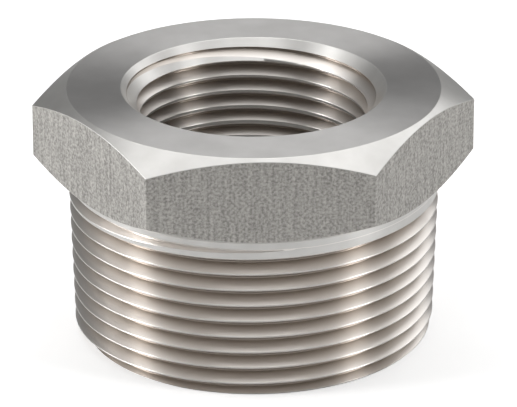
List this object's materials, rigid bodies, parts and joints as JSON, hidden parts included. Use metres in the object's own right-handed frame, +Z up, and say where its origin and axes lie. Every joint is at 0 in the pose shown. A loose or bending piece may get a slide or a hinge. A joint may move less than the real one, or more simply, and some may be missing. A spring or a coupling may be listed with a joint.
{
  "type": "hex bushing",
  "caption": "Hexagon-headed pipe reducer bushing in stainless steel, with a taper male thread outside and a smaller taper female thread through its bore.",
  "frame": {"origin": "centre of the small end face of the male thread, on the axis of both threads", "axes": "+Z up the common axis of the threads, from the small end to the hexagon head; two opposite corners of the hexagon lie on X and two of its flats face +Y and -Y"},
  "size_m": [0.0578, 0.05, 0.0335],
  "materials": {
    "stainless_steel": "machined stainless steel: turned end face, bores and threads, and drawn bar flats with a fine mottled grain"
  },
  "bodies": {
    "root": {"hex_bushing": "stainless_steel"}
  },
  "joints": []
}
